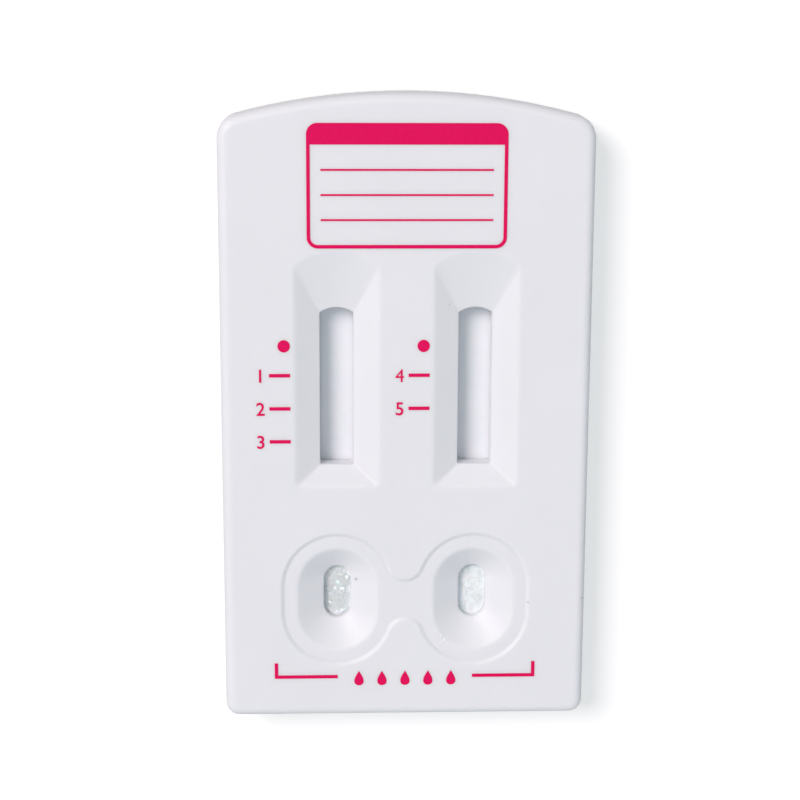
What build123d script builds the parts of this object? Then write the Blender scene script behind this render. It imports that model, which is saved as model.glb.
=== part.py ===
from build123d import *

import os
from math import atan2, degrees, radians, tan

# A two-strip lateral flow cassette, lying on its base with its printed face up.
# Millimetres: X runs across it, Y from its straight foot to its arched crown, Z up from its underside.

# Housing outline and shells
cassette_length = 70.0
cassette_width = 40.6
cassette_height = 6.0
crown_radius = 72.0
crown_corner_radius = 2.6
foot_corner_radius = 1.6
face_edge_radius = 1.0
base_edge_radius = 0.5
seam_chamfer = 0.12
parting_height = 2.6
outer_wall = 1.2
roof_thickness = 1.2
floor_thickness = 1.1
draft_angle = 1.5

# Tongue round the rim of the base, which enters a rebate in the cover
tongue_thickness = 0.5
tongue_height = 0.6
tongue_clearance = 0.05

# Result windows: an opening over each membrane at the bottom of a bevelled recess
window_from_foot = 29.2
window_width = 3.7
window_length = 17.65
window_crown_rise = 0.6
window_corner_radius = 0.2
window_depth = 1.45
side_bevel = 2.75
foot_bevel = 2.2
crown_bevel = 6.3
recess_crown_rise = 1.6
recess_crown_corner_radius = 0.8
recess_foot_corner_radius = 0.4
recess_edge_radius = 0.9
frame_wall = 1.0
frame_clearance = 0.25
frame_to_pad = 0.65

# Sample wells: funnels in a shallow recess shaped like a dog bone
well_from_foot = 13.85
funnel_width = 8.9
funnel_length = 11.85
funnel_edge_radius = 0.6
slot_width = 3.05
slot_length = 6.15
slot_offset = 0.33
slot_edge_chamfer = 0.1
slot_depth = 2.15
collar_wall = 1.0
ledge_width = 1.85
ledge_depth = 0.25
ledge_step = 0.38
neck_width = 4.84

# Test strips, one under each window and well
strip_spacing = 15.2
strip_width = 5.0
strip_foot_inset = 3.7
strip_crown_inset = 6.0
backing_thickness = 0.3
membrane_thickness = 0.2
conjugate_thickness = 0.4
conjugate_length = 8.0
sample_pad_thickness = 0.9
absorbent_pad_thickness = 1.0
pad_overlap = 2.0
pad_step_run = 0.6

# Strip channels moulded in the base
bed_rise = 0.6
rib_thickness = 0.8
rib_pitch = 6.0
rail_thickness = 0.8
rail_rise = 0.4
strip_side_clearance = 0.1
strip_end_clearance = 0.1
post_length = 2.0
post_rise = 1.5
post_end_inset = 3.2

# Bars under the cover that press the pads together
clamp_thickness = 0.8
absorbent_clamp_inset = 5.0

# Press pins under the cover, pushed into bosses in the base
pin_diameter = 2.2
pin_reach = 1.5
pin_hole_clearance = 0.02
boss_diameter = 3.8
boss_rise = 0.4
side_pin_inset = 3.7
pin_foot_inset = 5.8
pin_crown_inset = 8.6
pin_rows = 3

# Print on the face, one thin film of ink
ink_thickness = 0.05
line_weight = 0.38
rule_weight = 0.2
panel_width = 21.5
panel_gap = 0.3
panel_crown_margin = 2.4
panel_corner_radius = 1.2
panel_header_share = 0.17
panel_rules = 3
panel_margin = 1.5
bracket_half_width = 14.5
bracket_gap_half_width = 7.6
bracket_from_foot = 4.8
bracket_rise = 1.45
label_gap = 0.45
dash_length = 2.3
control_dot_diameter = 1.35
control_row_from_window_foot = 13.6
control_row_drop = 3.25
row_pitch = 3.7
left_result_rows = 3
right_result_rows = 2

# Places across and along the housing
half_width = cassette_width / 2
foot_y = -cassette_length / 2
crown_y = cassette_length / 2
strip_sides = (
    ("left", -strip_spacing / 2, left_result_rows),
    ("right", strip_spacing / 2, right_result_rows),
)
strip_centres = [x for side, x, rows in strip_sides]

window_foot_y = foot_y + window_from_foot
window_crown_y = window_foot_y + window_length
recess_width = window_width + 2 * side_bevel
recess_foot_y = window_foot_y - foot_bevel
recess_crown_y = window_crown_y + crown_bevel
recess_length = recess_crown_y - recess_foot_y
well_y = foot_y + well_from_foot
slot_y = well_y + slot_offset

# Strip layers from the windows outwards, so that the frames stay clear of the thick pads
membrane_foot_y = window_foot_y - frame_wall - frame_to_pad - pad_overlap
membrane_crown_y = window_crown_y + frame_wall + frame_to_pad + pad_overlap
conjugate_crown_y = membrane_foot_y + pad_overlap
conjugate_foot_y = conjugate_crown_y - conjugate_length
sample_crown_y = conjugate_foot_y + pad_overlap
absorbent_foot_y = membrane_crown_y - pad_overlap
strip_foot_y = foot_y + strip_foot_inset
strip_crown_y = crown_y - strip_crown_inset

# Strip channels
channel_width = strip_width + 2 * strip_side_clearance
channel_length = strip_crown_y - strip_foot_y + 2 * strip_end_clearance
strip_middle_y = (strip_foot_y + strip_crown_y) / 2
rib_count = int(channel_length / rib_pitch)
collar_foot_y = slot_y - slot_length / 2 - collar_wall
post_offset = (channel_width + rail_thickness) / 2
post_rows = (
    (strip_foot_y + collar_foot_y) / 2,
    (sample_crown_y + conjugate_crown_y) / 2,
    (absorbent_foot_y + strip_crown_y) / 2,
    strip_crown_y - post_end_inset,
)

# Heights
ceiling_z = cassette_height - roof_thickness
window_edge_z = cassette_height - window_depth
ledge_z = cassette_height - ledge_depth
slot_edge_z = cassette_height - slot_depth
bed_z = floor_thickness + bed_rise
backing_top_z = bed_z + backing_thickness
membrane_top_z = backing_top_z + membrane_thickness
conjugate_top_z = backing_top_z + conjugate_thickness
sample_top_z = backing_top_z + sample_pad_thickness
absorbent_top_z = backing_top_z + absorbent_pad_thickness
frame_foot_z = membrane_top_z + frame_clearance
rail_top_z = bed_z + rail_rise
post_top_z = bed_z + post_rise
boss_top_z = parting_height + boss_rise
pin_tip_z = boss_top_z - pin_reach

# The base is widest at the seam, so its outlines at the bottom are drawn in by the draft
base_draft_inset = parting_height * tan(radians(draft_angle))
floor_draft_inset = (parting_height - floor_thickness) * tan(radians(draft_angle))

# Each clamp bar sits on the middle of an overlap, or near the strip's crown end
clamp_bars = (
    (sample_crown_y - pad_overlap / 2, conjugate_top_z + sample_pad_thickness),
    (conjugate_crown_y - pad_overlap / 2, membrane_top_z + conjugate_thickness),
    (absorbent_foot_y + pad_overlap / 2, membrane_top_z + absorbent_pad_thickness),
    (strip_crown_y - absorbent_clamp_inset, absorbent_top_z),
)

# Print: the panel fills the face between the recesses and the crown, with a header band and ruled rows
crown_drop = crown_radius - (crown_radius**2 - (panel_width / 2) ** 2) ** 0.5
panel_foot_y = recess_crown_y + panel_gap
panel_height = crown_y - crown_drop - panel_crown_margin - panel_foot_y
panel_corner = min(panel_corner_radius, panel_height / 3)
panel_rows_width = panel_width - 2 * line_weight
panel_rows_height = panel_height * (1 - panel_header_share) - line_weight
panel_row_pitch = panel_rows_height / (panel_rules + 1)
rule_length = panel_width - 2 * panel_margin
bracket_y = foot_y + bracket_from_foot
bracket_arm = bracket_half_width - bracket_gap_half_width
control_row_y = window_foot_y + control_row_from_window_foot
top_row_y = control_row_y - control_row_drop

# Pins stand in three lanes, beside and between the strips
pin_first_y = foot_y + pin_foot_inset
pin_last_y = crown_y - pin_crown_inset
pin_spacing = (pin_last_y - pin_first_y) / (pin_rows - 1)
pin_lane = half_width - side_pin_inset
pin_places = [(x, pin_first_y + row * pin_spacing) for x in (-pin_lane, 0, pin_lane) for row in range(pin_rows)]


def housing_outline(inset=0.0):
    """The housing from above, drawn in by inset all round."""
    shoulder_y = crown_y - crown_radius + (crown_radius**2 - half_width**2) ** 0.5
    with BuildSketch() as outline:
        with BuildLine():
            Polyline(
                (-half_width, shoulder_y), (-half_width, foot_y), (half_width, foot_y), (half_width, shoulder_y)
            )
            ThreePointArc((half_width, shoulder_y), (0, crown_y), (-half_width, shoulder_y))
        make_face()
        fillet(outline.vertices().group_by(Axis.Y)[-1], crown_corner_radius)
        fillet(outline.vertices().group_by(Axis.Y)[0], foot_corner_radius)
        if inset > 0:
            offset(amount=-inset, mode=Mode.REPLACE)
    return outline.sketch


def arched_outline(width, length, crown_rise, crown_corner, foot_corner):
    """Straight foot on the X axis, straight sides and an arched crown end."""
    side_length = length - crown_rise
    with BuildSketch() as outline:
        with BuildLine():
            Polyline((-width / 2, side_length), (-width / 2, 0), (width / 2, 0), (width / 2, side_length))
            ThreePointArc((width / 2, side_length), (0, length), (-width / 2, side_length))
        make_face()
        fillet(outline.vertices().group_by(Axis.Y)[-1], crown_corner)
        fillet(outline.vertices().group_by(Axis.Y)[0], foot_corner)
    return outline.sketch


def window_outline():
    """The opening over a membrane."""
    return arched_outline(
        window_width, window_length, window_crown_rise, window_corner_radius, window_corner_radius
    )


def recess_outline():
    """The top of the bevels round a window."""
    return arched_outline(
        recess_width, recess_length, recess_crown_rise, recess_crown_corner_radius, recess_foot_corner_radius
    )


def ledge_outline():
    """Two lobes round the wells, joined by a neck whose sides are arcs tangent to both lobes."""
    lobe_radius = funnel_width / 2 + ledge_width
    lobe_straight = (funnel_length - funnel_width) / 2
    lobe_x = strip_spacing / 2
    neck_reach = neck_width / 2 - lobe_straight
    neck_radius = (neck_reach**2 + lobe_x**2 - lobe_radius**2) / (2 * (lobe_radius - neck_reach))
    neck_centre_y = neck_width / 2 + neck_radius
    tangent_angle = degrees(atan2(neck_centre_y - lobe_straight, lobe_x))
    with BuildSketch() as outline:
        with BuildLine() as quarter:
            CenterArc((0, neck_centre_y), neck_radius, 270, 90 - tangent_angle)
            CenterArc((lobe_x, lobe_straight), lobe_radius, 0, 180 - tangent_angle)
            Line((lobe_x + lobe_radius, lobe_straight), (lobe_x + lobe_radius, 0))
            mirror(about=Plane.XZ)
            mirror(about=Plane.YZ)
        make_face()
    return outline.sketch


def write(part, label):
    """Names a finished piece and saves it under that name."""
    part.label = label
    export_step(part, f"parts/{label}.step")


os.makedirs("parts", exist_ok=True)

# Cover with the windows, wells, clamp bars and press pins
with BuildPart() as top_housing:
    with BuildSketch(Plane.XY.offset(parting_height)):
        add(housing_outline())
    extrude(amount=cassette_height - parting_height, taper=draft_angle)
    fillet(top_housing.faces().sort_by(Axis.Z)[-1].edges(), face_edge_radius)
    chamfer(top_housing.faces().sort_by(Axis.Z)[0].edges(), seam_chamfer)

    # Hollow under the roof, and the rebate for the tongue
    with BuildSketch(Plane.XY.offset(parting_height)):
        add(housing_outline(outer_wall))
    extrude(amount=ceiling_z - parting_height, taper=draft_angle, mode=Mode.SUBTRACT)
    with BuildSketch(Plane.XY.offset(parting_height)):
        add(housing_outline(outer_wall - tongue_thickness - tongue_clearance))
    extrude(amount=tongue_height + tongue_clearance, mode=Mode.SUBTRACT)

    # Roof carried down under the recesses at an even thickness, with flat sides
    with BuildSketch(Plane((0, well_y, ledge_z - roof_thickness))):
        add(ledge_outline())
    extrude(amount=ceiling_z - ledge_z + roof_thickness)
    for x in strip_centres:
        with BuildSketch(Plane((x, (recess_foot_y + recess_crown_y) / 2, ceiling_z))):
            Rectangle(recess_width, recess_length)
        with BuildSketch(Plane((x, window_foot_y + window_length / 2, window_edge_z - roof_thickness))):
            Rectangle(window_width, window_length)
        loft(ruled=True)

    # Frame round each window, collar round each slot
    for x in strip_centres:
        with BuildSketch(Plane((x, window_foot_y, frame_foot_z))):
            add(window_outline())
            offset(amount=frame_wall, kind=Kind.INTERSECTION, mode=Mode.REPLACE)
        extrude(amount=window_edge_z - frame_foot_z)
        with BuildSketch(Plane((x, well_y, ledge_z - roof_thickness))):
            Rectangle(funnel_width, funnel_length)
        with BuildSketch(Plane((x, slot_y, sample_top_z))):
            Rectangle(slot_width + 2 * collar_wall, slot_length + 2 * collar_wall)
        loft(ruled=True)

    # Clamp bars and pins hang from the ceiling
    for bar_y, bar_foot_z in clamp_bars:
        with BuildSketch(Plane.XY.offset(bar_foot_z)):
            with Locations(*[(x, bar_y) for x in strip_centres]):
                Rectangle(strip_width, clamp_thickness)
        extrude(amount=ceiling_z - bar_foot_z)
    with BuildSketch(Plane.XY.offset(pin_tip_z)):
        with Locations(*pin_places):
            Circle(pin_diameter / 2)
    extrude(amount=ceiling_z - pin_tip_z)

    # Shallow ledge round both wells, with a sloping step
    with BuildSketch(Plane((0, well_y, cassette_height))):
        add(ledge_outline())
    extrude(amount=-ledge_depth, taper=degrees(atan2(ledge_step, ledge_depth)), mode=Mode.SUBTRACT)

    # Windows: the opening goes right through, then the bevels widen it up to the face
    for x in strip_centres:
        with BuildSketch(Plane((x, window_foot_y, frame_foot_z))):
            add(window_outline())
        extrude(amount=cassette_height - frame_foot_z, mode=Mode.SUBTRACT)
        with BuildSketch(Plane((x, recess_foot_y, cassette_height))):
            add(recess_outline())
        with BuildSketch(Plane((x, window_foot_y, window_edge_z))):
            add(window_outline())
        loft(ruled=True, mode=Mode.SUBTRACT)
        fillet(top_housing.edges(Select.LAST).group_by(Axis.Z)[-1], recess_edge_radius)

    # Wells: the slot goes down to the sample pad, then the funnel widens it up to the ledge
    for x in strip_centres:
        with BuildSketch(Plane((x, slot_y, sample_top_z))):
            SlotOverall(slot_length, slot_width, rotation=90)
        extrude(amount=ledge_z - sample_top_z, mode=Mode.SUBTRACT)
        with BuildSketch(Plane((x, well_y, ledge_z))):
            SlotOverall(funnel_length, funnel_width, rotation=90)
        with BuildSketch(Plane((x, slot_y, slot_edge_z))):
            SlotOverall(slot_length, slot_width, rotation=90)
        loft(ruled=True, mode=Mode.SUBTRACT)
        fillet(top_housing.edges(Select.LAST).group_by(Axis.Z)[-1], funnel_edge_radius)

    # Blunt lips where the funnels meet their slots
    slot_lips = top_housing.edges().filter_by_position(Axis.Z, slot_edge_z, slot_edge_z)
    chamfer(slot_lips, slot_edge_chamfer)

write(top_housing.part, "top_housing")

# Base with the tongue, strip channels and pin bosses
with BuildPart() as bottom_housing:
    with BuildSketch():
        add(housing_outline(base_draft_inset))
    extrude(amount=parting_height, taper=-draft_angle)
    fillet(bottom_housing.faces().sort_by(Axis.Z)[0].edges(), base_edge_radius)
    chamfer(bottom_housing.faces().sort_by(Axis.Z)[-1].edges(), seam_chamfer)
    with BuildSketch(Plane.XY.offset(floor_thickness)):
        add(housing_outline(outer_wall + floor_draft_inset))
    extrude(amount=parting_height - floor_thickness, taper=-draft_angle, mode=Mode.SUBTRACT)
    with BuildSketch(Plane.XY.offset(parting_height)):
        add(housing_outline(outer_wall - tongue_thickness))
        add(housing_outline(outer_wall), mode=Mode.SUBTRACT)
    extrude(amount=tongue_height)

    # Ribs that carry the strips
    with BuildSketch(Plane.XY.offset(floor_thickness)):
        with Locations((0, strip_middle_y)):
            with GridLocations(strip_spacing, rib_pitch, 2, rib_count):
                Rectangle(channel_width, rib_thickness)
    extrude(amount=bed_rise)

    # Rails and end stops round each strip
    with BuildSketch(Plane.XY.offset(floor_thickness)):
        with Locations(*[(x, strip_middle_y) for x in strip_centres]):
            Rectangle(channel_width + 2 * rail_thickness, channel_length + 2 * rail_thickness)
            Rectangle(channel_width, channel_length, mode=Mode.SUBTRACT)
    extrude(amount=rail_top_z - floor_thickness)

    # Posts that guide the strip while it is laid in
    with BuildSketch(Plane.XY.offset(floor_thickness)):
        for x in strip_centres:
            with Locations((x, 0)):
                with Locations(*[(side * post_offset, y) for side in (-1, 1) for y in post_rows]):
                    Rectangle(rail_thickness, post_length)
    extrude(amount=post_top_z - floor_thickness)

    # Bosses that the pins press into
    with BuildSketch(Plane.XY.offset(floor_thickness)):
        with Locations(*pin_places):
            Circle(boss_diameter / 2)
    extrude(amount=boss_top_z - floor_thickness)
    with BuildSketch(Plane.XY.offset(boss_top_z)):
        with Locations(*pin_places):
            Circle(pin_diameter / 2 + pin_hole_clearance)
    extrude(amount=floor_thickness - boss_top_z, mode=Mode.SUBTRACT)

write(bottom_housing.part, "bottom_housing")


def strip_layer(label, x, profile):
    """A layer as wide as the strip, cut from its side view along the strip."""
    with BuildPart() as layer:
        with BuildSketch(Plane.YZ.offset(x - strip_width / 2)):
            with BuildLine():
                Polyline(*profile, close=True)
            make_face()
        extrude(amount=strip_width)
    write(layer.part, label)


def flat_profile(start_y, end_y, bottom_z, thickness):
    """Side view of a layer that lies flat."""
    return [(start_y, bottom_z), (end_y, bottom_z), (end_y, bottom_z + thickness), (start_y, bottom_z + thickness)]


def stepped_profile(low_end_y, step_y, high_end_y, rise, thickness):
    """Side view of a pad on the backing card whose far end climbs onto the layer below it."""
    run = pad_step_run if high_end_y > low_end_y else -pad_step_run
    bottom = [
        (low_end_y, backing_top_z),
        (step_y - run, backing_top_z),
        (step_y, backing_top_z + rise),
        (high_end_y, backing_top_z + rise),
    ]
    return bottom + [(y, z + thickness) for y, z in reversed(bottom)]


# Test strips: each is a backing card with four layers on it
for side, x, rows in strip_sides:
    strip_layer(f"{side}_backing_card", x, flat_profile(strip_foot_y, strip_crown_y, bed_z, backing_thickness))
    strip_layer(
        f"{side}_membrane",
        x,
        flat_profile(membrane_foot_y, membrane_crown_y, backing_top_z, membrane_thickness),
    )
    strip_layer(
        f"{side}_conjugate_pad",
        x,
        stepped_profile(
            conjugate_foot_y, membrane_foot_y, conjugate_crown_y, membrane_thickness, conjugate_thickness
        ),
    )
    strip_layer(
        f"{side}_sample_pad",
        x,
        stepped_profile(
            strip_foot_y, conjugate_foot_y, sample_crown_y, conjugate_thickness, sample_pad_thickness
        ),
    )
    strip_layer(
        f"{side}_absorbent_pad",
        x,
        stepped_profile(
            strip_crown_y, membrane_crown_y, absorbent_foot_y, membrane_thickness, absorbent_pad_thickness
        ),
    )

# Print: a plain write-in panel, a bracket round the wells, and a dot or a dash beside each result row
with BuildPart() as printed_marks:
    with BuildSketch(Plane((0, panel_foot_y, cassette_height))) as panel:
        with Locations((0, panel_height / 2)):
            RectangleRounded(panel_width, panel_height, panel_corner)
        with Locations((0, line_weight + panel_rows_height / 2)):
            Rectangle(panel_rows_width, panel_rows_height, mode=Mode.SUBTRACT)
        fillet(panel.vertices().group_by(Axis.Y)[1], panel_corner - line_weight)
        with Locations(*[(0, line_weight + row * panel_row_pitch) for row in range(1, panel_rules + 1)]):
            Rectangle(rule_length, rule_weight)
    extrude(amount=ink_thickness)
    with BuildSketch(Plane((0, bracket_y, cassette_height))):
        with Locations((bracket_half_width - bracket_arm / 2, 0)):
            Rectangle(bracket_arm, line_weight)
        with Locations((bracket_half_width, bracket_rise / 2)):
            Rectangle(line_weight, bracket_rise + line_weight)
        mirror(about=Plane.YZ)
    extrude(amount=ink_thickness)
    for side, x, rows in strip_sides:
        label_x = x - recess_width / 2 - label_gap
        with BuildSketch(Plane((label_x, 0, cassette_height))):
            with Locations((-control_dot_diameter / 2, control_row_y)):
                Circle(control_dot_diameter / 2)
            with Locations(*[(-dash_length / 2, top_row_y - row * row_pitch) for row in range(rows)]):
                Rectangle(dash_length, line_weight)
        extrude(amount=ink_thickness)

write(printed_marks.part, "printed_marks")
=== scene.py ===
import math
import random

import bmesh
import bpy
from bpy.props import FloatProperty, FloatVectorProperty, IntProperty, PointerProperty
from mathutils import Matrix, Vector, noise


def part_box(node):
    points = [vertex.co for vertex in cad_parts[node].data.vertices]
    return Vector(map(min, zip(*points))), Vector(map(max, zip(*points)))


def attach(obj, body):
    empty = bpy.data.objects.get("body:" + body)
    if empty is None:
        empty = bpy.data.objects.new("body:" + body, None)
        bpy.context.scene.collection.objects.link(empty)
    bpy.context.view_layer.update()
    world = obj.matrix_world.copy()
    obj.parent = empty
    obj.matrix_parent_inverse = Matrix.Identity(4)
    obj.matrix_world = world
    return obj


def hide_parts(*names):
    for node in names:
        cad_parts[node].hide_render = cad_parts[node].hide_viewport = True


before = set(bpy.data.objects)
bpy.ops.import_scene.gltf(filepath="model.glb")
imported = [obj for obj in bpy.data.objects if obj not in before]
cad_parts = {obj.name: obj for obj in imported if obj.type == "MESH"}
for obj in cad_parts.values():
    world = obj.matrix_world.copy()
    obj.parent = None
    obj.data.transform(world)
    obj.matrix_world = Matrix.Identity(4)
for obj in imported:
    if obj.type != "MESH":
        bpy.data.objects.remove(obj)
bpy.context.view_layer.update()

bl_info = {
    "name": "Lateral flow cassette looks",
    "version": (1, 0, 0),
    "blender": (4, 5, 0),
    "location": "3D View > Sidebar > Cassette",
    "description": "Moulded finish, test strips, print and studio for a two-strip lateral flow cassette",
    "category": "Object",
}

MM = 0.001
BODY = "root"
SIDES = ("left", "right")

# Places that the housing gives, in metres
FACE_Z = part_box("top_housing")[1].z
INK_TOP_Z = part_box("printed_marks")[1].z
FOOT_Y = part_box("top_housing")[0].y
PAD_TOP_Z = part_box("left_sample_pad")[0].z + 0.9 * MM
DROPLETS_Y = FOOT_Y + 4.6 * MM

# The outer ends of the dashes that get a digit: x and y in millimetres
DASH_ENDS = ((-14.95, 4.55), (-14.95, 0.85), (-14.95, -2.85), (0.25, 4.55), (0.25, 0.85))

# Specks and scuffs on the face: x, y, width and length in millimetres, and the turn in degrees
SPECKS = (
    (-5.5, -19.25, 0.36, 0.42, 20), (13.8, -21.6, 0.16, 0.3, -15), (4.7, 12.2, 0.15, 0.15, 0),
    (19.95, -21.2, 0.12, 0.45, 0),
)
SCUFFS = (
    (4.1, -25.5, 0.16, 0.4, 25), (4.4, -26.0, 0.2, 0.55, -40), (4.85, -25.75, 0.12, 0.3, 70),
    (4.0, -26.3, 0.14, 0.28, 10), (4.75, -26.45, 0.13, 0.4, -70),
)
SPOT_THICKNESS = 0.03 * MM


class CassetteFinish(bpy.types.PropertyGroup):
    """Colours and textures of the cassette's surfaces"""

    housing_colour: FloatVectorProperty(
        name="Housing", description="Colour of the moulded polystyrene", subtype="COLOR", size=3,
        min=0.0, max=1.0, default=(0.80, 0.81, 0.85),
    )
    ink_colour: FloatVectorProperty(
        name="Ink", description="Colour of the pad-printed ink", subtype="COLOR", size=3,
        min=0.0, max=1.0, default=(0.76, 0.003, 0.105),
    )
    membrane_colour: FloatVectorProperty(
        name="Membrane", description="Colour of the test membrane", subtype="COLOR", size=3,
        min=0.0, max=1.0, default=(0.83, 0.845, 0.885),
    )
    pad_colour: FloatVectorProperty(
        name="Pads", description="Colour of the fibre pads", subtype="COLOR", size=3,
        min=0.0, max=1.0, default=(0.90, 0.95, 0.99),
    )
    lip_radius: FloatProperty(
        name="Lip radius", description="How softly the moulded edges are rounded", unit="LENGTH",
        min=0.0, max=0.001, default=0.22 * MM, precision=5,
    )
    texture_size: FloatProperty(
        name="Texture size", description="Size of the grains eroded into the mould", unit="LENGTH",
        min=0.00002, max=0.001, default=0.16 * MM, precision=5,
    )
    texture_depth: FloatProperty(
        name="Texture depth", description="Depth of the grains eroded into the mould", unit="LENGTH",
        min=0.0, max=0.0001, default=0.008 * MM, precision=6,
    )


class CassettePads(bpy.types.PropertyGroup):
    """Sizes of the strips' soft layers and their fibres"""

    voxel: FloatProperty(
        name="Mesh size", description="Size of the faces on a pad", unit="LENGTH",
        min=0.00005, max=0.001, default=0.11 * MM, precision=5,
    )
    fuzz: FloatProperty(
        name="Fuzz", description="How rough a pad's surface is", unit="LENGTH",
        min=0.0, max=0.0002, default=0.03 * MM, precision=5,
    )
    swell: FloatProperty(
        name="Swell", description="How far a sample pad swells up into its slot", unit="LENGTH",
        min=0.0, max=0.0005, default=0.08 * MM, precision=5,
    )
    slot_length: FloatProperty(
        name="Slot length", description="Length of the sample slot", unit="LENGTH",
        min=0.001, max=0.02, default=6.15 * MM, precision=5,
    )
    slot_width: FloatProperty(
        name="Slot width", description="Width of the sample slot", unit="LENGTH",
        min=0.001, max=0.01, default=3.05 * MM, precision=5,
    )
    slot_from_foot: FloatProperty(
        name="Slot from foot", description="From the foot of the housing to the middle of the slot",
        unit="LENGTH", min=0.001, max=0.05, default=14.18 * MM, precision=5,
    )
    fibre_diameter: FloatProperty(
        name="Fibre diameter", description="Diameter of a loose glass fibre", unit="LENGTH",
        min=0.00001, max=0.0002, default=0.035 * MM, precision=6,
    )
    fibre_count: IntProperty(
        name="Fibres", description="Loose fibres in the left sample slot", min=0, max=2000, default=320,
    )
    # The grains are near-white specks on the left sample pad: painted glints.
    grain_count: IntProperty(
        name="Grains", description="Bright grains on the left sample pad", min=0, max=200, default=22,
    )
    grain_size: FloatProperty(
        name="Grain size", description="Width of a bright grain on the left sample pad", unit="LENGTH",
        min=0.00005, max=0.001, default=0.42 * MM, precision=5,
    )


class CassettePrint(bpy.types.PropertyGroup):
    """Digits and droplets printed on the face"""

    digit_height: FloatProperty(
        name="Digit height", description="Height of a row's digit", unit="LENGTH",
        min=0.0005, max=0.005, default=1.5 * MM, precision=5,
    )
    digit_gap: FloatProperty(
        name="Digit gap", description="Gap between a digit and its dash", unit="LENGTH",
        min=0.0, max=0.005, default=0.45 * MM, precision=5,
    )
    drop_count: IntProperty(
        name="Droplets", description="Droplets printed between the bracket's ends", min=1, max=9, default=5,
    )
    drop_width: FloatProperty(
        name="Droplet width", description="Width of a printed droplet", unit="LENGTH",
        min=0.0002, max=0.005, default=1.25 * MM, precision=5,
    )
    drop_pitch: FloatProperty(
        name="Droplet pitch", description="Distance from one droplet to the next", unit="LENGTH",
        min=0.0005, max=0.01, default=2.6 * MM, precision=5,
    )


class CassetteStage(bpy.types.PropertyGroup):
    """Camera, lamps and floor"""

    camera_place: FloatVectorProperty(
        name="Camera place", description="Where the camera stands, from the middle of the underside",
        subtype="TRANSLATION", size=3, default=(-7.997 * MM, 44.25 * MM, 198.074 * MM), precision=5,
    )
    camera_turn: FloatVectorProperty(
        name="Camera turn", description="How far the camera is pitched, yawed and rolled",
        subtype="EULER", size=3,
        default=(math.radians(-12.466), math.radians(-2.130), math.radians(-0.238)),
    )
    lens: FloatProperty(
        name="Lens", description="Focal length on a sensor 36 mm wide", unit="CAMERA",
        min=10, max=300, default=81,
    )
    key_tilt: FloatProperty(
        name="Key tilt", description="Angle of the key lamp from straight above", subtype="ANGLE",
        default=math.radians(41),
    )
    key_heading: FloatProperty(
        name="Key heading", description="Direction of the key lamp, counter-clockwise from +X",
        subtype="ANGLE", default=math.radians(143),
    )
    key_distance: FloatProperty(
        name="Key distance", description="Distance of the key lamp", unit="LENGTH", default=3.0,
    )
    key_diameter: FloatProperty(
        name="Key diameter", description="Diameter of the key lamp", unit="LENGTH", default=1.6,
    )
    key_power: FloatProperty(
        name="Key power", description="Power of the key lamp", unit="POWER", default=62.5,
    )
    key_colour: FloatVectorProperty(
        name="Key colour", description="Colour of the key lamp", subtype="COLOR", size=3,
        default=(1.075, 0.975, 0.965),
    )
    fill_tilt: FloatProperty(
        name="Fill tilt", description="Angle of the fill lamp from straight above", subtype="ANGLE",
        default=math.radians(72),
    )
    fill_heading: FloatProperty(
        name="Fill heading", description="Direction of the fill lamp, counter-clockwise from +X",
        subtype="ANGLE", default=math.radians(-10),
    )
    fill_distance: FloatProperty(
        name="Fill distance", description="Distance of the fill lamp", unit="LENGTH", default=1.5,
    )
    fill_diameter: FloatProperty(
        name="Fill diameter", description="Diameter of the fill lamp", unit="LENGTH", default=1.0,
    )
    fill_power: FloatProperty(
        name="Fill power", description="Power of the fill lamp", unit="POWER", default=1.2,
    )
    sky_level: FloatProperty(
        name="Sky level", description="Brightness of the surroundings", min=0.0, default=0.48,
    )
    sky_colour: FloatVectorProperty(
        name="Sky colour", description="Colour of the surroundings", subtype="COLOR", size=3,
        default=(0.90, 0.98, 1.0),
    )
    sky_slope: FloatProperty(
        name="Sky slope", description="How much brighter the surroundings are on their bright side",
        min=0.0, max=1.0, default=0.4,
    )
    sky_bright_side: FloatVectorProperty(
        name="Bright side", description="Direction of the brighter surroundings",
        subtype="DIRECTION", size=3, default=(0.45, -0.89, 0.0),
    )
    floor_size: FloatProperty(
        name="Floor size", description="Width of the floor", unit="LENGTH", default=6.0,
    )


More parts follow.
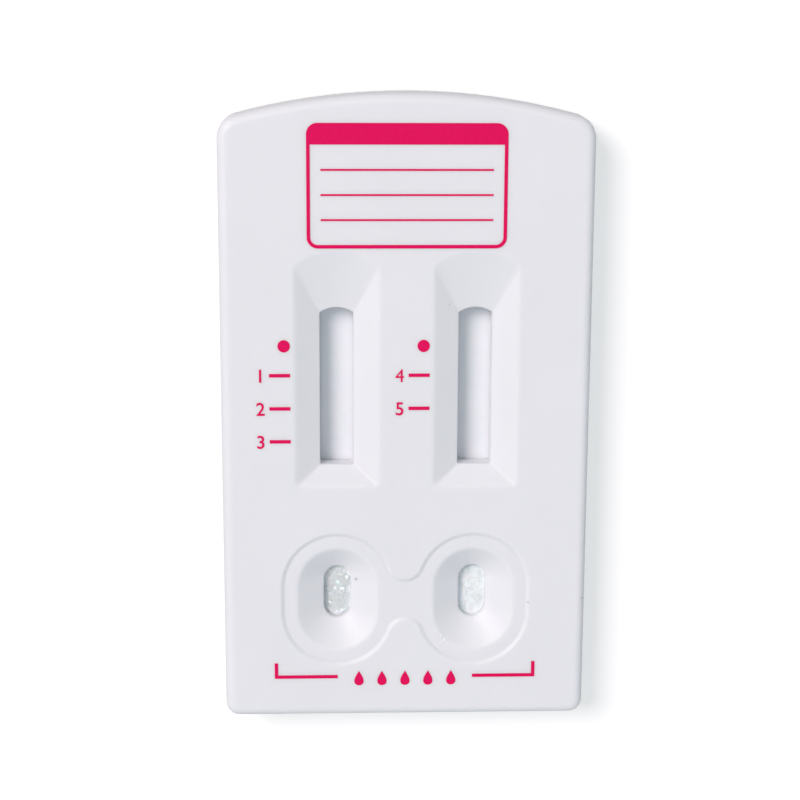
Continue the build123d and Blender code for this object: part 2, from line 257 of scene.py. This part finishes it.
class NodeBuilder:
    """Adds nodes to a fresh material or world and joins them."""

    def __init__(self, owner):
        owner.use_nodes = True
        self.tree = owner.node_tree
        self.tree.nodes.clear()

    def add(self, kind, inputs=None, **settings):
        node = self.tree.nodes.new(kind)
        for key, value in settings.items():
            setattr(node, key, value)
        for key, value in (inputs or {}).items():
            if isinstance(value, bpy.types.NodeSocket):
                self.tree.links.new(value, node.inputs[key])
            else:
                node.inputs[key].default_value = value
        return node

    def noise(self, where, size, detail=3.0, roughness=0.55):
        """Noise whose lumps are about size metres across."""
        return self.add("ShaderNodeTexNoise", {
            "Vector": where, "Scale": 1 / size, "Detail": detail, "Roughness": roughness,
        }).outputs["Fac"]

    def shift(self, value, low, high, from_low=0.3, from_high=0.7):
        """Maps a value's middle range onto low to high."""
        return self.add("ShaderNodeMapRange", {
            "Value": value, "From Min": from_low, "From Max": from_high, "To Min": low, "To Max": high,
        }).outputs["Result"]

    def blend(self, value, low_colour, high_colour):
        """A colour between two, by a value from 0 to 1."""
        # A Mix node's colour sockets share their names with others, so they go by number
        first, second, mixed = 6, 7, 2
        node = self.add("ShaderNodeMix", {
            "Factor": value, first: (*low_colour, 1), second: (*high_colour, 1),
        }, data_type="RGBA")
        return node.outputs[mixed]

    def shades(self, value, colour, darkest, lightest):
        """A colour that varies between two shades of itself with a noise."""
        return self.blend(self.shift(value, 0.0, 1.0), tinted(colour, darkest), tinted(colour, lightest))

    def bump(self, height, depth, normal=None):
        """A normal that follows a height, which is depth metres at 1."""
        inputs = {"Height": height, "Strength": 1.0, "Distance": depth}
        if normal is not None:
            inputs["Normal"] = normal
        return self.add("ShaderNodeBump", inputs).outputs["Normal"]

    def surface(self, inputs):
        """Ends a material in a Principled shader."""
        shader = self.add("ShaderNodeBsdfPrincipled", inputs)
        self.add("ShaderNodeOutputMaterial", {"Surface": shader.outputs[0]})


def fresh_material(name):
    """A new material, its node builder and the place on the object."""
    material = bpy.data.materials.new(name)
    n = NodeBuilder(material)
    return material, n, n.add("ShaderNodeTexCoord").outputs["Object"]


def tinted(colour, factor):
    """A colour made darker or lighter, and kept within white."""
    return tuple(min(1.0, channel * factor) for channel in colour)


def moulded_plastic(finish):
    """White polystyrene with the fine grain of an eroded mould, a little light passing under its skin."""
    material, n, where = fresh_material("moulded_polystyrene")
    grain = n.noise(where, finish.texture_size, 2.0)
    flow = n.noise(where, 9 * MM, 3.0)
    colour = n.shades(flow, finish.housing_colour, 0.988, 1.008)
    softened = n.add("ShaderNodeBevel", {"Radius": finish.lip_radius}, samples=4).outputs["Normal"]
    n.surface({
        "Base Color": colour,
        "Roughness": n.shift(grain, 0.40, 0.54),
        "IOR": 1.5,
        "Specular IOR Level": 0.4,
        "Subsurface Weight": 0.45,
        "Subsurface Radius": (1.0, 1.0, 1.0),
        "Subsurface Scale": 1.0 * MM,
        "Normal": n.bump(grain, finish.texture_depth, softened),
    })
    return material


def printing_ink(finish):
    """Pad-printed ink, slightly uneven in cover and gloss."""
    material, n, where = fresh_material("magenta_ink")
    grain = n.noise(where, finish.texture_size, 2.0)
    cover = n.noise(where, 0.5 * MM, 3.0)
    colour = n.shades(cover, finish.ink_colour, 0.96, 1.03)
    n.surface({
        "Base Color": colour,
        "Roughness": n.shift(grain, 0.6, 0.72),
        "Specular IOR Level": 0.12,
        "Normal": n.bump(grain, finish.texture_depth),
    })
    return material


def membrane_sheet(finish):
    """Porous white membrane: matt, with a very fine open grain."""
    material, n, where = fresh_material("porous_membrane")
    pores = n.noise(where, 0.05 * MM, 3.0)
    cloud = n.noise(where, 1.6 * MM, 2.0)
    colour = n.shades(cloud, finish.membrane_colour, 0.985, 1.01)
    n.surface({
        "Base Color": colour,
        "Roughness": n.shift(pores, 0.78, 0.92),
        "Specular IOR Level": 0.2,
        "Subsurface Weight": 0.1,
        "Subsurface Scale": 0.3 * MM,
        "Normal": n.bump(pores, 0.004 * MM),
    })
    return material


def fibre_felt(name, colour, fibre_size, depth, contrast):
    """Matted fibres of one size: stretched noise in two directions, deeper between the strands and darker
    there with painted shade.
    """
    material, n, where = fresh_material(name)
    strands = []
    for angle in (math.radians(28), math.radians(-41)):
        turned = n.add("ShaderNodeMapping", {
            "Vector": where, "Rotation": (0, 0, angle), "Scale": (1, 0.16, 1),
        }).outputs["Vector"]
        strands.append(n.noise(turned, fibre_size, 3.0, 0.6))
    lay = n.add("ShaderNodeMath", {0: strands[0], 1: strands[1]}, operation="MAXIMUM").outputs["Value"]
    shade = n.shift(lay, 0.0, 1.0, 0.42, 0.72)
    n.surface({
        # Darker colour between the strands: painted shade in the gaps, lighter on the strands.
        "Base Color": n.blend(shade, tinted(colour, 1 - contrast), tinted(colour, 1 + contrast * 0.4)),
        "Roughness": n.shift(lay, 0.85, 0.6),
        "Specular IOR Level": 0.35,
        "Subsurface Weight": 0.15,
        "Subsurface Scale": 0.25 * MM,
        "Normal": n.bump(lay, depth),
    })
    return material


def glass_fibre(colour):
    """Loose glass fibres, nearly clear and glossy enough to glint."""
    material, n, where = fresh_material("glass_fibre")
    change = n.noise(where, 0.4 * MM, 2.0)
    n.surface({
        "Base Color": n.shades(change, colour, 0.97, 1.12),
        "Roughness": n.shift(change, 0.16, 0.34),
        "IOR": 1.52,
        "Specular IOR Level": 0.8,
        "Subsurface Weight": 0.2,
        "Subsurface Scale": 0.1 * MM,
    })
    return material


def bright_grain():
    """Nearly white, glossy material for painted glints: it makes grains among the fibres shine by their
    colour.
    """
    material, n, where = fresh_material("bright_grain")
    change = n.noise(where, 0.2 * MM, 2.0)
    n.surface({
        "Base Color": n.blend(n.shift(change, 0.0, 1.0), (0.94, 0.96, 0.97), (1.0, 1.0, 1.0)),
        "Roughness": n.shift(change, 0.12, 0.3),
        "Specular IOR Level": 0.6,
        "Subsurface Weight": 0.3,
        "Subsurface Scale": 0.3 * MM,
    })
    return material


def worn_spot(name, dark, light, roughness):
    """A speck of dust or a scuff, uneven in tone."""
    material, n, where = fresh_material(name)
    change = n.noise(where, 0.12 * MM, 2.0)
    n.surface({
        "Base Color": n.blend(n.shift(change, 0.0, 1.0), dark, light),
        "Roughness": n.shift(change, roughness, roughness + 0.15),
    })
    return material


def card_plastic():
    """White plastic card that the layers are glued to."""
    material, n, where = fresh_material("backing_sheet")
    haze = n.noise(where, 1.2 * MM, 3.0)
    n.surface({
        "Base Color": n.blend(n.shift(haze, 0.0, 1.0), (0.8, 0.8, 0.8), (0.84, 0.84, 0.84)),
        "Roughness": n.shift(haze, 0.3, 0.42),
    })
    return material


def dress(obj, material):
    """Gives an object one material in every slot."""
    if not obj.data.materials:
        obj.data.materials.append(material)
    for index in range(len(obj.material_slots)):
        obj.material_slots[index].material = material


def new_piece(name, mesh, material, replaced=()):
    """Puts a finished mesh in the scene as a piece of the cassette."""
    obj = bpy.data.objects.new(name, mesh)
    bpy.context.scene.collection.objects.link(obj)
    dress(obj, material)
    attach(obj, BODY)
    if replaced:
        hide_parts(*replaced)
    return obj


def mesh_from(bm, name, smooth=True):
    """Turns a bmesh into a mesh and frees it."""
    mesh = bpy.data.meshes.new(name)
    bm.to_mesh(mesh)
    bm.free()
    for polygon in mesh.polygons:
        polygon.use_smooth = smooth
    return mesh


def solid_of(node):
    """The CAD solid of a layer as a bmesh of flat-sided faces."""
    bm = bmesh.new()
    bm.from_mesh(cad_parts[node].data)
    bmesh.ops.remove_doubles(bm, verts=bm.verts, dist=0.001 * MM)
    bmesh.ops.dissolve_limit(bm, angle_limit=math.radians(1), verts=bm.verts, edges=bm.edges)
    return bm


def remeshed(bm, name, voxel):
    """An even mesh of small faces over the same form."""
    mesh = mesh_from(bm, name)
    obj = bpy.data.objects.new(name, mesh)
    bpy.context.scene.collection.objects.link(obj)
    modifier = obj.modifiers.new("even", "REMESH")
    modifier.mode = "VOXEL"
    modifier.voxel_size = voxel
    bpy.context.view_layer.update()
    evaluated = obj.evaluated_get(bpy.context.evaluated_depsgraph_get())
    even = bpy.data.meshes.new_from_object(evaluated)
    bpy.data.objects.remove(obj)
    bpy.data.meshes.remove(mesh)
    for polygon in even.polygons:
        polygon.use_smooth = True
    return even


def slot_depth_inside(x, y, pads, centre):
    """How far a point lies inside the sample slot's outline; negative outside it."""
    straight = (pads.slot_length - pads.slot_width) / 2
    along = max(0.0, abs(y - centre[1]) - straight)
    return pads.slot_width / 2 - math.hypot(x - centre[0], along)


def strip_x(side):
    """The middle line of a strip."""
    low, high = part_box(f"{side}_backing_card")
    return (low.x + high.x) / 2


def soft_layer(name, node, material, pads, lump, raised=None):
    """A fibre pad: the CAD solid's form with rounded edges and a felted surface kept inside it."""
    bm = solid_of(node)
    edge_radius = 0.12 * MM
    bmesh.ops.bevel(
        bm, geom=bm.edges[:], offset=edge_radius, segments=2, profile=0.6, affect="EDGES", clamp_overlap=True
    )
    mesh = remeshed(bm, name, pads.voxel)
    moves = []
    for vertex in mesh.vertices:
        place = vertex.co / lump
        # Large lumps with smaller ones on them
        felt = noise.noise(place) * 0.6 + noise.noise(place * 2.7) * 0.4
        offset = vertex.normal * (pads.fuzz * (felt - 1.0))
        if raised is not None:
            offset += raised(vertex)
        moves.append(vertex.co + offset)
    for vertex, place in zip(mesh.vertices, moves):
        vertex.co = place
    return new_piece(name, mesh, material, [node])


def fibres(name, side, material, pads, seed, length, lift, count):
    """Loose glass fibres across the part of a sample pad that shows in its slot, lifted a little off it."""
    draw = random.Random(seed)
    centre = (strip_x(side), FOOT_Y + pads.slot_from_foot)
    bm = bmesh.new()
    radius = pads.fibre_diameter / 2
    clear_of_wall = 2.5 * radius
    steps = 6
    made = 0
    while made < count:
        x = centre[0] + draw.uniform(-0.5, 0.5) * pads.slot_width
        y = centre[1] + draw.uniform(-0.5, 0.5) * pads.slot_length
        heading = draw.uniform(0, math.tau)
        bend = draw.uniform(-1.1, 1.1)
        span = length * draw.uniform(0.5, 1.4)
        height = draw.uniform(0.1, 1.0) * lift
        tilt = draw.uniform(-0.5, 0.5) * lift
        thick = radius * draw.uniform(0.6, 1.4)
        line = []
        for step in range(steps + 1):
            t = step / steps - 0.5
            turned = heading + bend * t
            px = x + math.cos(turned) * span * t
            py = y + math.sin(turned) * span * t
            inside = slot_depth_inside(px, py, pads, centre)
            crown = swell_at(inside, pads)
            z = PAD_TOP_Z + crown + height * (1 - 2 * t * t) + tilt * t
            line.append((Vector((px, py, z)), inside))
        if min(inside for place, inside in line) < clear_of_wall:
            continue
        tube(bm, [place for place, inside in line], thick)
        made += 1
    return new_piece(name, mesh_from(bm, name), material)


def tube(bm, line, radius, sides=5):
    """A thin closed tube along a line of points."""
    rings = []
    for index, place in enumerate(line):
        before, after = line[max(0, index - 1)], line[min(len(line) - 1, index + 1)]
        along = (after - before).normalized()
        across = along.cross(Vector((0, 0, 1))).normalized()
        up = across.cross(along)
        ring = []
        for side in range(sides):
            angle = math.tau * side / sides
            outward = math.cos(angle) * across + math.sin(angle) * up
            ring.append(bm.verts.new(place + radius * outward))
        rings.append(ring)
    for first, second in zip(rings, rings[1:]):
        for side in range(sides):
            other = (side + 1) % sides
            bm.faces.new((first[side], first[other], second[other], second[side]))
    bm.faces.new(list(reversed(rings[0])))
    bm.faces.new(rings[-1])


def bright_grains(side, material, pads, seed):
    """Painted glints on a sample pad: near-white grains, and a thin near-white arc round the foot end of its
    slot as a painted highlight.
    """
    draw = random.Random(seed)
    centre = (strip_x(side), FOOT_Y + pads.slot_from_foot)
    bm = bmesh.new()
    made = 0
    while made < pads.grain_count:
        x = centre[0] + draw.uniform(-0.5, 0.5) * pads.slot_width
        y = centre[1] + draw.uniform(-0.5, 0.5) * pads.slot_length
        width = pads.grain_size * draw.uniform(0.5, 1.3)
        length = width * draw.uniform(0.8, 1.5)
        turn = Matrix.Rotation(draw.uniform(0, math.tau), 4, "Z")
        inside = slot_depth_inside(x, y, pads, centre)
        if inside < 0.7 * length:
            continue
        place = Vector((x, y, PAD_TOP_Z + swell_at(inside, pads) + 0.15 * width))
        spread = Matrix.Diagonal((width, length, 0.6 * width, 1))
        bmesh.ops.create_icosphere(
            bm, subdivisions=2, radius=0.5, matrix=Matrix.Translation(place) @ turn @ spread
        )
        made += 1
    # A thin near-white tube round the foot end of the slot, raised a little: a painted highlight.
    glint_arc_inset, glint_arc_radius, glint_arc_steps = 0.3 * MM, 0.08 * MM, 16
    glint_arc_start, glint_arc_sweep = math.radians(205), math.radians(130)
    foot = centre[1] - (pads.slot_length - pads.slot_width) / 2
    reach = pads.slot_width / 2 - glint_arc_inset
    height = PAD_TOP_Z + swell_at(glint_arc_inset, pads) + 0.05 * MM
    glint_arc = []
    for step in range(glint_arc_steps + 1):
        angle = glint_arc_start + glint_arc_sweep * step / glint_arc_steps
        glint_arc.append(Vector((centre[0] + reach * math.cos(angle), foot + reach * math.sin(angle), height)))
    tube(bm, glint_arc, glint_arc_radius, sides=8)
    return new_piece(f"{side}_bright_grains", mesh_from(bm, "bright_grains"), material)


def swell_at(inside, pads):
    """How far the pad stands up into the slot, by the distance from the slot's wall."""
    if inside <= 0:
        return 0.0
    slope_width = pads.slot_width * 0.36
    share = min(1.0, inside / slope_width)
    return pads.swell * (1 - (1 - share) ** 2)


class CASSETTE_OT_finish_shells(bpy.types.Operator):
    """Give the moulded shells, the print and the backing cards their finishes"""

    bl_idname = "cassette.finish_shells"
    bl_label = "Finish the shells"

    def execute(self, context):
        finish = context.scene.cassette_finish
        plastic, ink, card = moulded_plastic(finish), printing_ink(finish), card_plastic()
        for node in ("top_housing", "bottom_housing"):
            dress(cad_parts[node], plastic)
        dress(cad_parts["printed_marks"], ink)
        for side in SIDES:
            dress(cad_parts[f"{side}_backing_card"], card)
        return {"FINISHED"}


class CASSETTE_OT_make_membranes(bpy.types.Operator):
    """Lay the test membranes on their cards"""

    bl_idname = "cassette.make_membranes"
    bl_label = "Make the membranes"

    def execute(self, context):
        material = membrane_sheet(context.scene.cassette_finish)
        edge_radius, cell = 0.03 * MM, 0.5 * MM
        ripple_length, ripple_depth = 3.2 * MM, 0.012 * MM
        for side in SIDES:
            node = f"{side}_membrane"
            bm = solid_of(node)
            bmesh.ops.bevel(bm, geom=bm.edges[:], offset=edge_radius, segments=2, affect="EDGES")
            low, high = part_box(node)
            for axis in (0, 1):
                cuts = round((high[axis] - low[axis]) / cell)
                for cut in range(1, cuts):
                    place, facing = Vector(low), Vector((0, 0, 0))
                    place[axis] += (high[axis] - low[axis]) * cut / cuts
                    facing[axis] = 1
                    bmesh.ops.bisect_plane(
                        bm, geom=bm.verts[:] + bm.edges[:] + bm.faces[:],
                        plane_co=place, plane_no=facing,
                    )
            for vertex in bm.verts:
                ripple = noise.noise(vertex.co / ripple_length)
                vertex.co.z -= ripple_depth * (1 + ripple)
            # The cuts leave the faces in an order that changes from run to run
            bm.verts.index_update()
            in_order = sorted(bm.faces, key=lambda face: sorted(corner.index for corner in face.verts))
            for index, face in enumerate(in_order):
                face.index = index
            bm.faces.sort()
            new_piece(f"{node}_sheet", mesh_from(bm, node), material, [node])
        return {"FINISHED"}


class CASSETTE_OT_make_pads(bpy.types.Operator):
    """Make the conjugate, absorbent and sample pads, with loose fibres in the slots"""

    bl_idname = "cassette.make_pads"
    bl_label = "Make the pads"

    def execute(self, context):
        finish, pads = context.scene.cassette_finish, context.scene.cassette_pads
        felts = {
            "conjugate_pad": fibre_felt("conjugate_felt", (0.78, 0.78, 0.78), 0.12 * MM, 0.02 * MM, 0.08),
            "absorbent_pad": fibre_felt("cotton_felt", (0.82, 0.82, 0.80), 0.2 * MM, 0.03 * MM, 0.06),
        }
        for side in SIDES:
            for layer, felt in felts.items():
                node = f"{side}_{layer}"
                soft_layer(f"{node}_felt", node, felt, pads, 0.4 * MM)
        coarse = fibre_felt("coarse_sample_felt", finish.pad_colour, 0.1 * MM, 0.03 * MM, 0.08)
        fine = fibre_felt("fine_sample_felt", finish.pad_colour, 0.07 * MM, 0.025 * MM, 0.07)
        glass = glass_fibre(tinted(finish.pad_colour, 1.08))
        for side, felt, seed, length, lift, count in (
            ("left", coarse, 11, 1.5 * MM, 0.17 * MM, pads.fibre_count),
            ("right", fine, 23, 0.9 * MM, 0.05 * MM, pads.fibre_count // 2),
        ):
            node = f"{side}_sample_pad"
            centre = (strip_x(side), FOOT_Y + pads.slot_from_foot)

            def raised(vertex, centre=centre):
                """The swelling of the pad's upper face under its slot."""
                if vertex.normal.z < 0.5:
                    return Vector((0, 0, 0))
                inside = slot_depth_inside(vertex.co.x, vertex.co.y, pads, centre)
                return Vector((0, 0, swell_at(inside - 0.08 * MM, pads)))

            soft_layer(f"{node}_felt", node, felt, pads, 0.3 * MM, raised)
            fibres(f"{side}_loose_fibres", side, glass, pads, seed, length, lift, count)
        # Near-white grains and an arc on the left sample pad: painted glints and a painted highlight.
        bright_grains("left", bright_grain(), pads, 37)
        return {"FINISHED"}


def film(bm, outline):
    """A thin film of ink with this outline, from the face up to the top of the print."""
    bottom = [bm.verts.new((x, y, FACE_Z)) for x, y in outline]
    top = [bm.verts.new((x, y, INK_TOP_Z)) for x, y in outline]
    count = len(outline)
    for index in range(count):
        other = (index + 1) % count
        bm.faces.new((bottom[index], bottom[other], top[other], top[index]))
    bm.faces.new(top)
    bm.faces.new(list(reversed(bottom)))


class CASSETTE_OT_print_digits(bpy.types.Operator):
    """Print a digit in front of each result row's dash"""

    bl_idname = "cassette.print_digits"
    bl_label = "Print the digits"

    def execute(self, context):
        made = context.scene.cassette_print
        ink = bpy.data.materials["magenta_ink"]
        digit_share_of_font = 0.73
        added_weight = 0.02 * MM
        middle_z = (FACE_Z + INK_TOP_Z) / 2
        for number, (dash_x, y) in enumerate(DASH_ENDS, start=1):
            name = f"printed_digit_{number}"
            curve = bpy.data.curves.new(name, "FONT")
            curve.body = str(number)
            curve.align_x = "RIGHT"
            curve.size = made.digit_height / digit_share_of_font
            # The outlines of the font's 4 cross, and an offset would fill its opening
            curve.offset = 0.0 if curve.body == "4" else added_weight
            curve.extrude = (INK_TOP_Z - FACE_Z) / 2
            curve.resolution_u = 6
            digit = bpy.data.objects.new(name, curve)
            context.scene.collection.objects.link(digit)
            context.view_layer.update()
            shaped = digit.evaluated_get(context.evaluated_depsgraph_get())
            mesh = bpy.data.meshes.new_from_object(shaped)
            bpy.data.objects.remove(digit)
            bm = bmesh.new()
            bm.from_mesh(mesh)
            bmesh.ops.remove_doubles(bm, verts=bm.verts, dist=0.0005 * MM)
            place = Vector((dash_x * MM - made.digit_gap, y * MM - made.digit_height / 2, middle_z))
            bmesh.ops.translate(bm, verts=bm.verts, vec=place)
            new_piece(name, mesh_from(bm, name, smooth=False), ink)
        return {"FINISHED"}


class CASSETTE_OT_print_droplets(bpy.types.Operator):
    """Print the row of droplets between the ends of the wells' bracket"""

    bl_idname = "cassette.print_droplets"
    bl_label = "Print the droplets"

    def execute(self, context):
        made = context.scene.cassette_print
        breadth, half_height = 0.59 * made.drop_width, 0.69 * made.drop_width
        points, point_sharpness = 40, 1.4
        bm = bmesh.new()
        for index in range(made.drop_count):
            x = (index - (made.drop_count - 1) / 2) * made.drop_pitch
            outline = []
            for step in range(points):
                angle = math.tau * step / points
                reach = breadth * math.sin(angle) * math.sin(angle / 2) ** point_sharpness
                outline.append((x - reach, DROPLETS_Y + half_height * math.cos(angle)))
            film(bm, outline)
        mesh = mesh_from(bm, "printed_droplets", smooth=False)
        new_piece("printed_droplets", mesh, bpy.data.materials["magenta_ink"])
        return {"FINISHED"}


def spots_on(housing, spots, name, material):
    """Flat spots half sunk in the housing, each where a ray from above meets it."""
    into = housing.matrix_world.inverted()
    down = into.to_3x3() @ Vector((0, 0, -1))
    bm = bmesh.new()
    for x, y, width, length, turn in spots:
        start = into @ Vector((x * MM, y * MM, FACE_Z + 5 * MM))
        hit, place, normal, _ = housing.ray_cast(start, down)
        if not hit:
            raise RuntimeError(f"No housing under the spot at {x}, {y} mm")
        facing = (housing.matrix_world.to_3x3() @ normal).to_track_quat("Z", "Y").to_matrix().to_4x4()
        spread = Matrix.Diagonal((width * MM, length * MM, SPOT_THICKNESS, 1))
        matrix = Matrix.Translation(housing.matrix_world @ place) @ facing
        matrix = matrix @ Matrix.Rotation(math.radians(turn), 4, "Z") @ spread
        bmesh.ops.create_icosphere(bm, subdivisions=3, radius=0.5, matrix=matrix)
    return new_piece(name, mesh_from(bm, name), material)


class CASSETTE_OT_mark_wear(bpy.types.Operator):
    """Put the few specks and scuffs on the moulded face"""

    bl_idname = "cassette.mark_wear"
    bl_label = "Mark the wear"

    def execute(self, context):
        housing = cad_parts["top_housing"]
        grey = worn_spot("grey_speck", (0.45, 0.5, 0.51), (0.58, 0.62, 0.63), 0.5)
        pale = worn_spot("pale_scuff", (0.9, 0.91, 0.94), (0.98, 0.98, 1.0), 0.3)
        spots_on(housing, SPECKS, "face_specks", grey)
        spots_on(housing, SCUFFS, "face_scuffs", pale)
        return {"FINISHED"}


def white_for_camera(n, plain, white):
    """The plain shader for light, and the white one where the camera or a gloss looks at it."""
    path = n.add("ShaderNodeLightPath").outputs
    seen = path["Is Camera Ray"]
    for kind in ("Is Glossy Ray", "Is Transmission Ray"):
        seen = n.add("ShaderNodeMath", {0: seen, 1: path[kind]}, operation="MAXIMUM").outputs[0]
    mix = n.add("ShaderNodeMixShader", {0: seen})
    n.tree.links.new(plain.outputs[0], mix.inputs[1])
    n.tree.links.new(white.outputs[0], mix.inputs[2])
    return mix


class CASSETTE_OT_make_stage(bpy.types.Operator):
    """Set up the floor, the lamps, the surroundings and the camera"""

    bl_idname = "cassette.make_stage"
    bl_label = "Make the stage"

    def execute(self, context):
        stage = context.scene.cassette_stage
        self.lay_floor(stage)
        self.hang_lamp(stage, "key").color = stage.key_colour
        self.hang_lamp(stage, "fill")
        self.light_surroundings(context, stage)
        self.place_camera(context, stage)
        context.scene.view_settings.view_transform = "Standard"
        return {"FINISHED"}

    def lay_floor(self, stage):
        """A pale floor that shows white and keeps the cassette's shadow."""
        # A hair above the underside, so that the two faces never lie in one plane
        half, height = stage.floor_size / 2, 0.01 * MM
        bm = bmesh.new()
        corners = ((-half, -half), (half, -half), (half, half), (-half, half))
        bm.faces.new([bm.verts.new((x, y, height)) for x, y in corners])
        floor = bpy.data.objects.new("floor", mesh_from(bm, "floor"))
        bpy.context.scene.collection.objects.link(floor)
        material = bpy.data.materials.new("pale_floor")
        n = NodeBuilder(material)
        plain = n.add("ShaderNodeBsdfDiffuse", {"Color": (0.25, 0.25, 0.25, 1)})
        lit = n.add("ShaderNodeBsdfDiffuse", {"Color": (0.62, 0.62, 0.63, 1)})
        glow = n.add("ShaderNodeEmission", {"Color": (1, 1, 1, 1), "Strength": 0.46})
        white = n.add("ShaderNodeAddShader", {0: lit.outputs[0], 1: glow.outputs[0]})
        n.add("ShaderNodeOutputMaterial", {"Surface": white_for_camera(n, plain, white).outputs[0]})
        dress(floor, material)

    def hang_lamp(self, stage, kind):
        """A round lamp of this kind that faces the cassette."""
        settings = ("tilt", "heading", "distance", "diameter", "power")
        tilt, heading, distance, diameter, power = (getattr(stage, f"{kind}_{name}") for name in settings)
        out = math.sin(tilt)
        way = Vector((math.cos(heading) * out, math.sin(heading) * out, math.cos(tilt)))
        lamp = bpy.data.lights.new(f"{kind}_lamp", "AREA")
        lamp.shape = "DISK"
        lamp.size = diameter
        lamp.energy = power
        obj = bpy.data.objects.new(f"{kind}_lamp", lamp)
        obj.location = way * distance
        obj.rotation_euler = way.to_track_quat("Z", "Y").to_euler()
        bpy.context.scene.collection.objects.link(obj)
        return lamp

    def light_surroundings(self, context, stage):
        """Soft light from all round, brighter on one side, and plain white for the camera."""
        world = bpy.data.worlds.new("surroundings")
        context.scene.world = world
        n = NodeBuilder(world)
        way = n.add("ShaderNodeTexCoord").outputs["Generated"]
        facing = n.add("ShaderNodeVectorMath", {0: way, 1: stage.sky_bright_side}, operation="DOT_PRODUCT")
        darkest = stage.sky_level * (1 - stage.sky_slope)
        brightest = stage.sky_level * (1 + stage.sky_slope)
        level = n.shift(facing.outputs["Value"], darkest, brightest, -1, 1)
        plain = n.add("ShaderNodeBackground", {"Color": (*stage.sky_colour, 1), "Strength": level})
        white = n.add("ShaderNodeBackground", {"Color": (1, 1, 1, 1), "Strength": 1.0})
        n.add("ShaderNodeOutputWorld", {"Surface": white_for_camera(n, plain, white).outputs[0]})

    def place_camera(self, context, stage):
        """The camera at the photo's viewing angle."""
        camera = bpy.data.cameras.new("camera")
        camera.lens = stage.lens
        camera.sensor_width = 36
        camera.clip_start = 0.001
        camera.clip_end = 20
        obj = bpy.data.objects.new("camera", camera)
        bpy.context.scene.collection.objects.link(obj)
        pitch, yaw, roll = stage.camera_turn
        turn = Matrix.Rotation(pitch, 4, "X") @ Matrix.Rotation(yaw, 4, "Y") @ Matrix.Rotation(roll, 4, "Z")
        obj.matrix_world = Matrix.Translation(stage.camera_place) @ turn
        context.scene.camera = obj


class CASSETTE_PT_tools(bpy.types.Panel):
    """The steps that dress the cassette, in order"""

    bl_label = "Cassette"
    bl_idname = "CASSETTE_PT_tools"
    bl_space_type = "VIEW_3D"
    bl_region_type = "UI"
    bl_category = "Cassette"

    def draw(self, context):
        for step in STEPS:
            self.layout.operator(step.bl_idname)
        for group in GROUPS:
            box = self.layout.box()
            settings = getattr(context.scene, group)
            for key in settings.bl_rna.properties.keys():
                if key not in ("rna_type", "name"):
                    box.prop(settings, key)


STEPS = (
    CASSETTE_OT_make_stage,
    CASSETTE_OT_finish_shells,
    CASSETTE_OT_make_membranes,
    CASSETTE_OT_make_pads,
    CASSETTE_OT_print_digits,
    CASSETTE_OT_print_droplets,
    CASSETTE_OT_mark_wear,
)
GROUPS = {
    "cassette_finish": CassetteFinish,
    "cassette_pads": CassettePads,
    "cassette_print": CassettePrint,
    "cassette_stage": CassetteStage,
}


def register():
    for group in GROUPS.values():
        bpy.utils.register_class(group)
    for step in (*STEPS, CASSETTE_PT_tools):
        bpy.utils.register_class(step)
    for name, group in GROUPS.items():
        setattr(bpy.types.Scene, name, PointerProperty(type=group))


def unregister():
    for name in GROUPS:
        delattr(bpy.types.Scene, name)
    for step in reversed((*STEPS, CASSETTE_PT_tools)):
        bpy.utils.unregister_class(step)
    for group in reversed(list(GROUPS.values())):
        bpy.utils.unregister_class(group)


def main():
    register()
    for step in STEPS:
        family, name = step.bl_idname.split(".")
        getattr(getattr(bpy.ops, family), name)()


if __name__ == "__main__":
    main()
